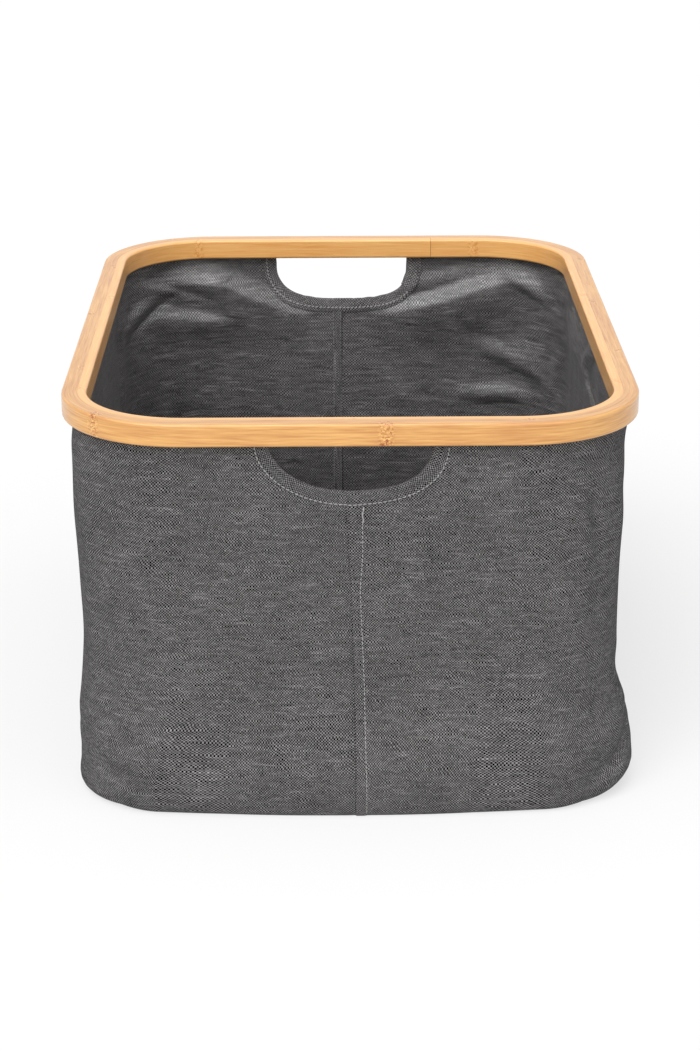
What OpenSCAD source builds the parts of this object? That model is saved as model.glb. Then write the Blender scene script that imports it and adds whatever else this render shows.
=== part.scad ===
// Open laundry basket: a soft fabric body that hangs from a bent bamboo rim,
// with a hand hole in each end wall and a lift-out base insert.
// X runs to the right, Y from front to back, Z up. The origin is at the middle of the underside.

/* [Overall] */
// Outer width of the rim, left to right
rim_w = 400; // [340:1:460]
// Outer depth of the rim, front to back
rim_d = 546; // [460:1:620]
// Height from the floor to the top of the rim
basket_h = 285; // [230:1:360]

/* [Rim] */
// Height of the rim
rim_h = 16; // [12:0.5:24]
// Outer corner radius of the rim
rim_r = 87; // [75:1:110]
// Thickness of the outer ply
outer_ply_t = 6.6; // [5:0.1:9]
// Thickness of the inner ply
inner_ply_t = 6.6; // [5:0.1:9]
// Depth of the hem groove in the underside of the rim
groove_depth = 8; // [5:0.5:10]
// Radius of the rim's long edges
edge_r = 1.8; // [0.5:0.1:2.4]
// Width of the line where the two ends of a ply meet
butt_gap = 0.3; // [0.1:0.1:1]
// Distance of the inner ply's butt joint from the middle of the back
inner_butt_x = 74; // [20:1:80]
// Distance of the outer ply's butt joint from the middle of the right side
outer_butt_y = 96; // [20:1:120]
// Distance of the core ply's butt joint from the middle of the left side
core_butt_y = 60; // [20:1:120]

/* [Hem] */
// Thickness of the strip that wedges the hem in the groove
hem_strip_t = 2; // [1.4:0.1:2.6]
// Height of the strip that wedges the hem in the groove
hem_strip_h = 7; // [4:0.5:8]
// Clearance on each side of the hem and of its strip in the groove
hem_gap = 0.4; // [0.3:0.05:0.5]

/* [Walls] */
// Thickness of the wall fabric
wall_t = 1.2; // [0.8:0.1:1.6]
// How far the waist of the wall lies inside the rim's outer edge
waist_inset = 10.4; // [7:0.2:16]
// Height of the waist
waist_z = 110; // [80:5:150]
// How far the widest line above the base lies inside the rim's outer edge
flare_inset = 2.2; // [0.5:0.1:5]
// Height of the widest line above the base
flare_z = 17; // [12:1:30]
// How far the wall turns in under the basket, from its widest line to the base seam
roll_w = 11; // [6:0.5:12]
// Corner radius of the body at its widest line
base_r = 60; // [48:1:80]
// Gap between the two wall panels at the centre seams
panel_gap = 0.2; // [0.1:0.1:0.5]

/* [Hand holes] */
// Width of a hand hole at the rim's underside
hole_w = 115; // [90:1:130]
// Height of a hand hole below the rim
hole_drop = 36; // [28:1:50]
// How square the hand hole's curve is: 2 is an ellipse, more is squarer
hole_power = 2.4; // [2:0.1:4]
// Width of the facing strip sewn round a hand hole
facing_w = 9.5; // [7:0.5:14]
// Thickness of the facing strip
facing_t = 1; // [0.6:0.1:1.4]
// Gap between the end of a facing strip and the rim
facing_gap = 0.4; // [0.3:0.1:1]

/* [Seams] */
// Width of the folded seam allowance inside the front centre seam
front_fell_w = 10.5; // [7:0.5:14]
// Width of the folded seam allowance inside the back centre seam
back_fell_w = 7.5; // [6:0.5:14]
// Thickness of the folded seam allowances
fell_t = 1; // [0.6:0.1:1.6]
// Width of the binding tape along the base seam
binding_w = 6; // [5:0.5:7]
// Thickness of the binding tape
binding_t = 1; // [0.6:0.1:1.6]
// Gap between layers that are sewn together
layer_gap = 0.1; // [0.05:0.05:0.3]

/* [Base] */
// Thickness of the base fabric
base_t = 1.2; // [0.8:0.1:2]

/* [Insert] */
// Clearance between the insert and the rim's opening
insert_gap = 5; // [4:0.5:10]
// Corner radius of the insert
insert_r = 72; // [66:1:90]
// Thickness of the insert's board
board_t = 3; // [2:0.5:6]
// Thickness of the insert's fabric covers
cover_t = 0.8; // [0.5:0.1:1.2]
// Width of the edging tape on the top and the underside of the insert
edging_w = 8; // [5:0.5:12]
// Thickness of the edging tape
edging_t = 0.6; // [0.4:0.1:1]
// Clearance between the insert and the base fabric
insert_seat = 0.3; // [0.2:0.1:0.5]

/* [Hidden] */

$fn = 96;
bamboo_face = [0.93, 0.74, 0.50];
bamboo_core = [0.86, 0.65, 0.40];
strip_grey = [0.30, 0.30, 0.31];
wall_grey = [0.37, 0.36, 0.36];
facing_grey = [0.31, 0.30, 0.31];
lining_grey = [0.26, 0.25, 0.26];
tape_grey = [0.16, 0.16, 0.17];
board_brown = [0.55, 0.42, 0.30];

// Rim and groove. The core ply is as thick as what its groove holds.
core_ply_t = hem_strip_t + wall_t + 3 * hem_gap;
rim_t = outer_ply_t + core_ply_t + inner_ply_t;
rim_z = basket_h - rim_h;
groove_top_z = rim_z + groove_depth;
hem_inset = outer_ply_t + hem_gap;
hem_top_z = groove_top_z - hem_gap;
hem_r = rim_r - hem_inset;
strip_inset = hem_inset + wall_t + hem_gap;

// Base
seam_inset = flare_inset + roll_w;
base_inset = seam_inset + wall_t / 2 + layer_gap;
base_corner_r = base_r - roll_w - (base_inset - seam_inset);
binding_inset = seam_inset + layer_gap;
binding_z = base_t + layer_gap;
fell_bottom_z = binding_z + binding_t + fell_t + wall_t;
fell_top_z = rim_z - hole_drop - facing_w - layer_gap;

// Insert, from its edging's lower lip up
insert_inset = rim_t + insert_gap;
edging_z = base_t + insert_seat;
bottom_cover_z = edging_z + edging_t;
board_z = bottom_cover_z + cover_t;
top_cover_z = board_z + board_t;
edging_top_z = top_cover_z + cover_t + edging_t;

// Longer than any piece, for cuts that run right through
past = rim_w + rim_d + basket_h;

// Steps along each stretch of the wall's profile, round each corner and round a hand hole
roll_steps = 6;
flare_steps = 5;
upper_steps = 6;
corner_steps = 12;
hole_steps = 24;

function mix(a, b, s) = a + (b - a) * s;
function ease(s) = (1 - cos(180 * s)) / 2;
function corner_at(z) = mix(base_r, hem_r, (z - flare_z) / (rim_z - flare_z));

// The wall's outer face from the base seam up, each point as [inset, height, corner radius]
roll_points = [for (i = [0 : roll_steps - 1]) let (a = 90 * i / roll_steps)
    [seam_inset - roll_w * sin(a), flare_z * (1 - cos(a)), base_r - roll_w * (1 - sin(a))]];
flare_points = [for (i = [0 : flare_steps - 1]) let (s = i / flare_steps, z = mix(flare_z, waist_z, s))
    [mix(flare_inset, waist_inset, ease(s)), z, corner_at(z)]];
upper_points = [for (i = [0 : upper_steps]) let (s = i / upper_steps, z = mix(waist_z, rim_z, s))
    [mix(waist_inset, hem_inset, ease(s)), z, corner_at(z)]];
wall_profile = concat(roll_points, flare_points, upper_points, [[hem_inset, hem_top_z, hem_r]]);
last = len(wall_profile) - 1;
ring_n = 4 * (corner_steps + 1);

// Direction from the fabric's outer face to its inner face, as [inset, height]
function across(i) = i == last ? [1, 0] :
    let (low = wall_profile[max(i - 1, 0)], high = wall_profile[i + 1],
         run = [high[0] - low[0], high[1] - low[1]])
    [run[1], -run[0]] / norm(run);

// The wall's outline at one level, counter-clockwise, at a depth into the fabric
function level_points(i, depth) =
    let (p = wall_profile[i], n = across(i),
         inset = p[0] + n[0] * depth, z = p[1] + n[1] * depth, r = p[2] - n[0] * depth,
         cx = rim_w / 2 - inset - r, cy = rim_d / 2 - inset - r)
    [for (q = [0 : 3], k = [0 : corner_steps]) let (a = 90 * (q + k / corner_steps))
        [(q == 0 || q == 3 ? cx : -cx) + r * cos(a), (q < 2 ? cy : -cy) + r * sin(a), z]];

// A layer of the wall between two depths into the fabric, all the way round
module wall_layer(outer_depth, t) {
    outer = [for (i = [0 : last]) each level_points(i, outer_depth)];
    inner = [for (i = [0 : last]) each level_points(i, outer_depth + t)];
    n = len(outer);
    faces = [for (i = [0 : last - 1], j = [0 : ring_n - 1])
        let (a = i * ring_n + j, b = i * ring_n + (j + 1) % ring_n, c = b + ring_n, d = a + ring_n)
        each [[a, c, b], [a, d, c], [a + n, b + n, c + n], [a + n, c + n, d + n]]];
    edges = [for (j = [0 : ring_n - 1])
        let (a = j, b = (j + 1) % ring_n, c = b + last * ring_n, d = a + last * ring_n)
        each [[a, b, b + n], [a, b + n, a + n], [d, c + n, c], [d, d + n, c + n]]];
    polyhedron(points = concat(outer, inner), faces = concat(faces, edges), convexity = 8);
}

// Rounded rectangle that lies a given distance inside the rim's outer edge
module outline(inset, r) {
    w = rim_w - 2 * inset;
    d = rim_d - 2 * inset;
    square([w - 2 * r, d], center = true);
    square([w, d - 2 * r], center = true);
    for (x = [-1, 1], y = [-1, 1])
        translate([x * (w / 2 - r), y * (d / 2 - r)]) circle(r);
}

// Flat ring between two insets, with the corner radius of its outer edge
module flat_ring(inset, w, r) {
    difference() {
        outline(inset, r);
        outline(inset + w, r - w);
    }
}

// Sweeps a section, drawn as [inset, height], round the rim's four sides and corners
module bend_round() {
    for (k = [0 : 3]) {
        reach = (k % 2 == 0 ? rim_w : rim_d) / 2;
        straight = (k % 2 == 0 ? rim_d : rim_w) - 2 * rim_r;
        rotate([0, 0, 90 * k]) {
            translate([reach, 0, 0]) rotate([90, 0, 0])
                linear_extrude(height = straight, center = true) mirror([1, 0]) children();
            translate([reach - rim_r, straight / 2, 0])
                rotate_extrude(angle = 90) translate([rim_r, 0]) mirror([1, 0]) children();
        }
    }
}

// Section of a ply whose two long edges at inset 0 are rounded
module rounded_section(t) {
    translate([edge_r, 0]) square([t - edge_r, rim_h]);
    translate([0, edge_r]) square([edge_r, rim_h - 2 * edge_r]);
    for (z = [edge_r, rim_h - edge_r]) translate([edge_r, z]) circle(edge_r);
}

// The cut of a hand hole through one end: 0 front, 1 back
module hand_hole(end, w, drop) {
    curve = [for (i = [0 : hole_steps]) let (a = 180 * i / hole_steps)
        [sign(cos(a)) * w / 2 * pow(abs(cos(a)), 2 / hole_power), -drop * pow(sin(a), 2 / hole_power)]];
    rotate([0, 0, 180 * end]) translate([0, 0, rim_z]) rotate([90, 0, 0])
        linear_extrude(height = past) polygon(concat([[-w / 2, rim_h], [w / 2, rim_h]], curve));
}

// Slot through a ply where its two ends meet
module butt_slot() {
    translate([-butt_gap / 2, 0, 0]) cube([butt_gap, past, past]);
}

module rim_outer_ply() {
    color(bamboo_face) difference() {
        translate([0, 0, rim_z]) bend_round() rounded_section(outer_ply_t);
        translate([0, outer_butt_y, 0]) rotate([0, 0, -90]) butt_slot();
    }
}

module rim_core_ply() {
    color(bamboo_core) difference() {
        translate([0, 0, groove_top_z]) linear_extrude(height = basket_h - groove_top_z)
            flat_ring(outer_ply_t, core_ply_t, rim_r - outer_ply_t);
        translate([0, core_butt_y, 0]) rotate([0, 0, 90]) butt_slot();
    }
}

module rim_inner_ply() {
    color(bamboo_face) difference() {
        translate([0, 0, rim_z]) bend_round()
            translate([rim_t, 0]) mirror([1, 0]) rounded_section(inner_ply_t);
        translate([inner_butt_x, 0, 0]) butt_slot();
    }
}

module hem_strip() {
    color(strip_grey) translate([0, 0, hem_top_z - hem_strip_h]) linear_extrude(height = hem_strip_h)
        flat_ring(strip_inset, hem_strip_t, rim_r - strip_inset);
}

// Half of the wall, from the front centre seam round one side to the back: -1 left, 1 right
module wall_panel(side) {
    color(wall_grey) difference() {
        wall_layer(0, wall_t);
        translate([side * (panel_gap - past) / 2, 0, 0]) cube([past, past, past], center = true);
        for (k = [0 : 1]) hand_hole(k, hole_w, hole_drop);
    }
}

module left_wall_panel() { wall_panel(-1); }

module right_wall_panel() { wall_panel(1); }

// Seam allowance on the wall's inner face, from one x to another: y_side is -1 front, 1 back
module seam_fell(from_x, to_x, y_side) {
    color(facing_grey) intersection() {
        wall_layer(wall_t + layer_gap, fell_t);
        translate([from_x, y_side < 0 ? -past : 0, fell_bottom_z])
            cube([to_x - from_x, past, fell_top_z - fell_bottom_z]);
    }
}

module front_seam_fell() { seam_fell(0, front_fell_w, -1); }

module back_seam_fell() { seam_fell(-back_fell_w, 0, 1); }

// Facing strip round the hand hole of one end, on the wall's inner face
module hole_facing(end) {
    color(facing_grey) intersection() {
        wall_layer(wall_t + layer_gap, facing_t);
        difference() {
            hand_hole(end, hole_w + 2 * facing_w, hole_drop + facing_w);
            hand_hole(end, hole_w, hole_drop);
            translate([-past / 2, -past / 2, rim_z - facing_gap]) cube(past);
        }
    }
}

module front_hole_facing() { hole_facing(0); }

module back_hole_facing() { hole_facing(1); }

module base_panel() {
    color(wall_grey) linear_extrude(height = base_t) outline(base_inset, base_corner_r);
}

module base_seam_binding() {
    color(tape_grey) translate([0, 0, binding_z]) linear_extrude(height = binding_t)
        flat_ring(binding_inset, binding_w, base_corner_r + base_inset - binding_inset);
}

// One flat layer of the insert, inside its edging
module insert_layer(z, t) {
    translate([0, 0, z]) linear_extrude(height = t)
        outline(insert_inset + edging_t, insert_r - edging_t);
}

module insert_board() {
    color(board_brown) insert_layer(board_z, board_t);
}

module insert_bottom_cover() {
    color(lining_grey) insert_layer(bottom_cover_z, cover_t);
}

module insert_top_cover() {
    color(lining_grey) insert_layer(top_cover_z, cover_t);
}

module insert_edging() {
    color(tape_grey) difference() {
        translate([0, 0, edging_z]) linear_extrude(height = edging_top_z - edging_z)
            flat_ring(insert_inset, edging_w, insert_r);
        insert_layer(bottom_cover_z, top_cover_z + cover_t - bottom_cover_z);
    }
}

rim_outer_ply();
rim_core_ply();
rim_inner_ply();
hem_strip();
left_wall_panel();
right_wall_panel();
front_seam_fell();
back_seam_fell();
front_hole_facing();
back_hole_facing();
base_panel();
base_seam_binding();
insert_board();
insert_bottom_cover();
insert_top_cover();
insert_edging();
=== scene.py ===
import math

import bpy
import numpy as np
from mathutils import Matrix, Vector, noise


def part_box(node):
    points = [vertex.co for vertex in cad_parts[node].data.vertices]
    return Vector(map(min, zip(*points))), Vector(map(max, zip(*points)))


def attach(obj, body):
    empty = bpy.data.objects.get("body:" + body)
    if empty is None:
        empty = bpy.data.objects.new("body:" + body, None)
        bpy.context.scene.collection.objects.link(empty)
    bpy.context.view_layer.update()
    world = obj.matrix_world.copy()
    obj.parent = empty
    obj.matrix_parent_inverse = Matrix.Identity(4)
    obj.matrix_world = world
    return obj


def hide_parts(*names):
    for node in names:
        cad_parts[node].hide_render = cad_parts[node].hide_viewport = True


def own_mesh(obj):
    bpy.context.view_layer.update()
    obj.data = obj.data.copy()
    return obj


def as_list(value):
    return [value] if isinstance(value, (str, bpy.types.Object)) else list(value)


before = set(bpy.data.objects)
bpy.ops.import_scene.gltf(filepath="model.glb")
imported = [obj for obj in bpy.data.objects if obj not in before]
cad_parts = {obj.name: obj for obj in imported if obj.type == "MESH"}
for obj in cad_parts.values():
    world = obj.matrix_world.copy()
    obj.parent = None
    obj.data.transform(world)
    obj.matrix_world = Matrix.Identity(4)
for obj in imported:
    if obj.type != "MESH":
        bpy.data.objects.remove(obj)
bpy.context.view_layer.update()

# ---------------------------------------------------------------- sizes, in metres
outer_low, outer_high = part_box("rim_outer_ply")
core_low, core_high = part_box("rim_core_ply")
_, inner_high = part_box("rim_inner_ply")
wall_low, wall_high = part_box("left_wall_panel")
base_low, base_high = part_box("base_panel")
_, cover_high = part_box("insert_top_cover")
edging_low, edging_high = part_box("insert_edging")
binding_low, binding_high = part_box("base_seam_binding")

# Rim: half width and depth, lower and upper edge, outer corner radius and thickness of its three plies
HALF_W = outer_high.x
HALF_D = outer_high.y
RIM_Z = outer_low.z
RIM_TOP = outer_high.z
RIM_R = 0.087
OUTER_PLY = HALF_W - core_high.x
CORE_PLY = core_high.x - inner_high.x
INNER_PLY = 0.0066
# Rounding of the rim's edges and of a glue joint's, and the gap of a butt joint
EDGE_R = 0.0018
JOINT_R = 0.00015
BUTT_GAP = 0.0003

# Wall: how far its outer face lies inside the rim's outer edge, at its hem, its waist and its widest line
# near the floor, from which it rolls in to the floor seam
HEM_TOP = wall_high.z
HEM_INSET = OUTER_PLY + 0.0004
HEM_R = RIM_R - HEM_INSET
WAIST_INSET = 0.0104
WAIST_Z = 0.110
FLARE_INSET = HALF_W + wall_low.x
FLARE_Z = 0.017
BASE_R = 0.060
ROLL_W = 0.011
SEAM_INSET = FLARE_INSET + ROLL_W
CLOTH_T = 0.0010

# How far from the middle of a side the cloth's columns keep their place at every height
HOLD = 0.085
# The wall's outline at half height: straight half of the front, one corner, straight half of a side
FRONT_RUN = 0.120
CORNER_RUN = 0.1095
SIDE_RUN = 0.193
HALF_RUN = FRONT_RUN + CORNER_RUN + SIDE_RUN
FULL_RUN = 2 * HALF_RUN

LEFT, RIGHT = -1, 1
ENDS = ("front", "back")

# Each hand hole: half width, middle, drop below the rim and squareness of the curve on each side
HOLES = {
    "front": (0.0562, 0.0000, 0.0340, 1.90, 2.35),
    "back": (0.0577, -0.0022, 0.0384, 2.95, 3.25),
}
# Width of one leaf of a facing
FACING_W = 0.0102
# Points along a facing
FACING_STEPS = 90
STITCH_PITCH = 0.0034
# How far a row of stitches lies inside the edge of a seam allowance
STITCH_INSET = 0.0006
# Share of the way round a hand hole, from its left end, at which its facing starts to lie double
FACING_LAP = 0.84
# Place of the back seam, to the right of the middle, and width of the seam allowances inside
BACK_SEAM_X = -0.0028
FRONT_FELL_W = 0.0102
BACK_FELL_W = 0.0080
# How far the floor seam bows out in front, and half the width over which it does
FRONT_BOW = 0.0155
FRONT_BOW_HALF = 0.153

# Tapes and covers at the bottom: widths, thickness and corner radii
BINDING_W = 0.006
EDGING_W = 0.008
EDGING_T = 0.0006
EDGING_R = 0.072
COVER_R = 0.0714

# Camera: place, degrees it looks down, turns to the right and rolls, and focal length on a 36 mm film
CAMERA_PLACE = (-0.018, -1.864, 0.783)
CAMERA_DOWN = 19.67
CAMERA_TURN = 0.60
CAMERA_ROLL = -0.129
CAMERA_LENS = 86.43

FLOOR_SIZE = 14
# Strength of the white surroundings on the object
SURROUNDINGS = 0.44
# Lights: strength, degrees across, and degrees tilted forward and to the side
LIGHTS = {
    "wide_light": (2.2, 150, 50, 0),
    "main_light": (2.15, 44, 35, -20),
}


# ---------------------------------------------------------------- camera, floor and light
def make_camera():
    """Stands in front of the basket, a little to the left, and looks down into it."""
    camera = bpy.data.cameras.new("camera")
    camera.lens = CAMERA_LENS
    camera.sensor_width = 36
    holder = bpy.data.objects.new("camera", camera)
    bpy.context.scene.collection.objects.link(holder)
    facing = Matrix.Rotation(-math.radians(CAMERA_TURN), 4, "Z")
    facing = facing @ Matrix.Rotation(math.radians(90 - CAMERA_DOWN), 4, "X")
    facing = facing @ Matrix.Rotation(math.radians(CAMERA_ROLL), 4, "Z")
    holder.matrix_world = Matrix.Translation(CAMERA_PLACE) @ facing
    bpy.context.scene.camera = holder


def make_floor():
    """A wide pale floor."""
    deselect()
    bpy.ops.mesh.primitive_plane_add(size=FLOOR_SIZE, location=(0, 0, 0))
    floor = bpy.context.object
    floor.name = "floor"
    floor.data.materials.append(floor_paint())


def make_lights():
    """Surroundings that look white and light the basket less, and two broad lights in front and above."""
    world = bpy.data.worlds.new("surroundings")
    bpy.context.scene.world = world
    world.use_nodes = True
    recipe = Recipe(world.node_tree)
    seen = recipe.value("ShaderNodeLightPath", output="Is Camera Ray")
    mirrored = recipe.value("ShaderNodeLightPath", output="Is Glossy Ray")
    strength = seen.math("MAXIMUM", mirrored).spread(0.0, 1.0, SURROUNDINGS, 1.0)
    recipe.fill(world.node_tree.nodes["Background"], {"Color": grey(1.0), "Strength": strength})
    for name, (energy, across, forward, aside) in LIGHTS.items():
        lamp = bpy.data.lights.new(name, "SUN")
        lamp.energy = energy
        lamp.angle = math.radians(across)
        holder = bpy.data.objects.new(name, lamp)
        bpy.context.scene.collection.objects.link(holder)
        holder.rotation_euler = (math.radians(forward), math.radians(aside), 0)
    bpy.context.scene.view_settings.view_transform = "Standard"


# ---------------------------------------------------------------- material tools
class Value:
    """An output in a node tree. Arithmetic on values adds the math nodes that work it out."""

    def __init__(self, recipe, socket):
        self.recipe = recipe
        self.socket = socket

    def math(self, operation, *others, clamp=False):
        return self.recipe.math(operation, self, *others, clamp=clamp)

    def spread(self, low, high, to_low=0.0, to_high=1.0, smooth=False):
        """Maps low..high to to_low..to_high and holds the ends."""
        kind = "SMOOTHSTEP" if smooth else "LINEAR"
        inputs = {0: self, 1: low, 2: high, 3: to_low, 4: to_high}
        return self.recipe.value("ShaderNodeMapRange", inputs, interpolation_type=kind)

    def __add__(self, other):
        return self.math("ADD", other)

    def __sub__(self, other):
        return self.math("SUBTRACT", other)

    def __rsub__(self, other):
        return self.recipe.math("SUBTRACT", other, self)

    def __mul__(self, other):
        return self.math("MULTIPLY", other)

    def __truediv__(self, other):
        return self.math("DIVIDE", other)


class Recipe:
    """A node tree being filled in. Most of its functions add a node and give back its output as a value."""

    def __init__(self, tree):
        self.tree = tree

    def feed(self, socket, value):
        if isinstance(value, Value):
            self.tree.links.new(value.socket, socket)
        else:
            socket.default_value = value

    def fill(self, node, inputs):
        for key, value in inputs.items():
            self.feed(node.inputs[key], value)

    def node(self, kind, inputs, **settings):
        made = self.tree.nodes.new(kind)
        for key, value in settings.items():
            setattr(made, key, value)
        self.fill(made, inputs)
        return made

    def value(self, kind, inputs=(), output=0, **settings):
        return Value(self, self.node(kind, dict(inputs), **settings).outputs[output])

    def group(self, tree, inputs):
        made = self.node("ShaderNodeGroup", inputs, node_tree=tree)
        return {socket.name: Value(self, socket) for socket in made.outputs}

    def math(self, operation, *terms, clamp=False):
        return self.value("ShaderNodeMath", enumerate(terms), operation=operation, use_clamp=clamp)

    def split(self, vector):
        made = self.node("ShaderNodeSeparateXYZ", {0: vector})
        return [Value(self, socket) for socket in made.outputs]

    def join(self, x, y, z):
        return self.value("ShaderNodeCombineXYZ", {0: x, 1: y, 2: z})

    def noise(self, vector, scale=1.0, detail=2.0):
        return self.value("ShaderNodeTexNoise", {"Vector": vector, "Scale": scale, "Detail": detail})

    def scale(self, colour, gain):
        return self.value("ShaderNodeVectorMath", {0: colour, 3: gain}, operation="SCALE")

    def blend(self, share, a, b, **settings):
        return self.value("ShaderNodeMix", {0: share, 6: a, 7: b}, 2, data_type="RGBA", **settings)

    def shade(self, colour, tone):
        return self.blend(1.0, colour, self.join(tone, tone, tone), blend_type="MULTIPLY")

    def bump(self, height, distance):
        return self.value("ShaderNodeBump", {"Height": height, "Distance": distance, "Strength": 1.0})


def new_group(name, inputs, outputs):
    """A shader group's recipe, its inputs and its output node. A socket for a place is given as None."""
    tree = bpy.data.node_groups.new(name, "ShaderNodeTree")
    for sockets, way in ((inputs, "INPUT"), (outputs, "OUTPUT")):
        for label, value in sockets.items():
            kind = "Vector" if value is None else "Color" if isinstance(value, tuple) else "Float"
            socket = tree.interface.new_socket(label, in_out=way, socket_type="NodeSocket" + kind)
            if way == "INPUT" and value is not None:
                socket.default_value = value
    recipe = Recipe(tree)
    given = {socket.name: Value(recipe, socket) for socket in recipe.node("NodeGroupInput", {}).outputs}
    return recipe, given, recipe.node("NodeGroupOutput", {})


def grey(value):
    return (value, value, value, 1.0)


def woven_cloth_group():
    """Plain weave of dark warp and light weft threads, with slubs and painted shade in the gaps between
    threads. Place is in metres.
    """
    recipe, given, result = new_group(
        "woven_cloth",
        {"Place": None, "Thread": 0.0011, "Warp": grey(0.06), "Weft": grey(0.25),
         "Crossing": 1.0, "Streak": 0.5, "Slub": 0.5, "Speck": 1.0},
        {"Color": grey(1.0), "Height": 0.0},
    )
    u, v, _ = recipe.split(given["Place"])
    u = u / given["Thread"]
    v = v / given["Thread"]
    # the threads wander, and each row drifts a little against its neighbours
    wander = recipe.noise(recipe.join(u, v, 0.0), 0.05).spread(0.2, 0.8, -1.2, 1.2)
    jitter = recipe.noise(recipe.join(u * 0.2, v, 4.4), 0.4, 1.0).spread(0.2, 0.8, -0.55, 0.55)
    u = u + wander
    v = v + (wander + jitter)
    column = u.math("FLOOR")
    row = v.math("FLOOR")
    weft_on_top = (column + row).math("MODULO", 2.0).math("ABSOLUTE")
    from_warp = u.math("FRACT") - 0.5
    from_weft = v.math("FRACT") - 0.5
    squares = {0: weft_on_top, 2: from_warp * from_warp, 3: from_weft * from_weft}
    round_top = 1.0 - recipe.value("ShaderNodeMix", squares) * 3.2

    def drawn_out(length, upward, seed, detail=2.0):
        return recipe.noise(recipe.join(u * length, upward, seed), 1.0, detail)

    own_row = row * 5.37
    streak = drawn_out(0.07, own_row, 0.0).spread(0.28, 0.72)
    band = drawn_out(0.045, v * 0.42, 6.1).spread(0.3, 0.7)
    fleck = drawn_out(0.40, own_row, 3.3, 1.0).spread(0.3, 0.7)
    slub = drawn_out(0.06, own_row, 11.9, 1.0).spread(0.58, 0.72, smooth=True) * given["Slub"]
    lively = drawn_out(0.07, v * 0.24, 2.7).spread(0.36, 0.64, 0.75, 1.2)
    cell = recipe.value("ShaderNodeTexWhiteNoise", {"Vector": recipe.join(column, row, 0.0)})
    streaks = (streak * 0.55 + band * 0.75 - 0.65) * given["Streak"]
    specks = (cell + fleck * 0.5 - 0.75) * given["Speck"]
    gain = (streaks + specks + 1.0).math("MAXIMUM", 0.06)
    warp = recipe.scale(given["Warp"], gain)
    weft = recipe.scale(given["Weft"], slub * 0.55 + gain)
    weft_share = (weft_on_top - 0.5) * lively * given["Crossing"] + 0.5
    weft_share = weft_share.math("MAXIMUM", slub * 0.8, clamp=True)
    # each thread darkens towards its edges: painted shade in the gaps between threads
    colour = recipe.shade(recipe.blend(weft_share, warp, weft), round_top * 0.40 + 0.66)
    recipe.fill(result, {"Color": colour, "Height": round_top})
    return recipe.tree


def bamboo_fibre_group():
    """Straight fibres along the strip, in metres along, across and up it, which curl at a knuckle."""
    recipe, given, result = new_group(
        "bamboo_fibre",
        {"Place": None, "Pale": (0.8, 0.5, 0.25, 1), "Dark": (0.6, 0.3, 0.12, 1), "Knuckle": 0.0},
        {"Color": grey(1.0), "Height": 0.0},
    )
    along, across, up = recipe.split(given["Place"])
    wave = recipe.noise(recipe.join(along, up * 3.0, 0.0), 16.0).spread(0.2, 0.8, -0.0009, 0.0009)
    knot_wave = recipe.noise(given["Place"], 320.0).spread(0.2, 0.8, -0.0035, 0.0035)
    wave = wave + knot_wave * given["Knuckle"]
    up = up + wave
    across = across + wave

    def streak(length, width, seed):
        return recipe.noise(recipe.join(along / length, across / width, up / width + seed))

    broad = streak(0.070, 0.0030, 0.0).spread(0.3, 0.7)
    middle = streak(0.034, 0.0012, 5.0).spread(0.32, 0.68)
    fine = streak(0.016, 0.0007, 9.0).spread(0.3, 0.7)
    patch = recipe.noise(recipe.join(along * 14.0, 0.0, 0.0), 1.0, 1.0).spread(0.3, 0.7, -0.5, 0.5)
    curl = recipe.noise(recipe.join(along * 0.45, across, up), 620.0)
    dark_curl = curl.spread(0.50, 0.64, 0.0, 0.90)
    pale_curl = curl.spread(0.46, 0.34, 0.0, 0.65)
    knot = (dark_curl - pale_curl) * given["Knuckle"]
    tone = broad * 0.30 + middle * 0.42 + fine * 0.26 + patch * 0.24 + knot
    tone = tone.math("MAXIMUM", -0.4)
    recipe.fill(result, {
        "Color": recipe.blend(tone, given["Pale"], given["Dark"], clamp_factor=False),
        "Height": fine * 0.4 + middle - knot,
    })
    return recipe.tree


def knuckle_band_group():
    """A soft band across the strip, 1 at the named distance along it and 0 away from it."""
    recipe, given, result = new_group(
        "knuckle_band",
        {"Along": 0.0, "At": 0.0, "Width": 0.007, "Before": 0.0},
        {"Band": 0.0},
    )
    gap = (given["Along"] - given["At"]).math("ABSOLUTE") / given["Width"]
    band = gap.spread(0.25, 1.0, 1.0, 0.0, smooth=True)
    recipe.fill(result, {"Band": band.math("MAXIMUM", given["Before"])})
    return recipe.tree


WOVEN_CLOTH = woven_cloth_group()
BAMBOO_FIBRE = bamboo_fibre_group()
KNUCKLE_BAND = knuckle_band_group()


def new_material(name):
    """A material, its recipe and its shader."""
    material = bpy.data.materials.new(name)
    material.use_nodes = True
    return material, Recipe(material.node_tree), material.node_tree.nodes["Principled BSDF"]


def floor_paint():
    """Pale floor that gives off some light, so that it stays nearly white."""
    material, recipe, shader = new_material("pale_floor")
    recipe.fill(shader, {
        "Base Color": grey(0.27), "Emission Color": grey(1.0), "Emission Strength": 0.62,
        "Roughness": 0.9, "Specular IOR Level": 0.0,
    })
    return material


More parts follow.
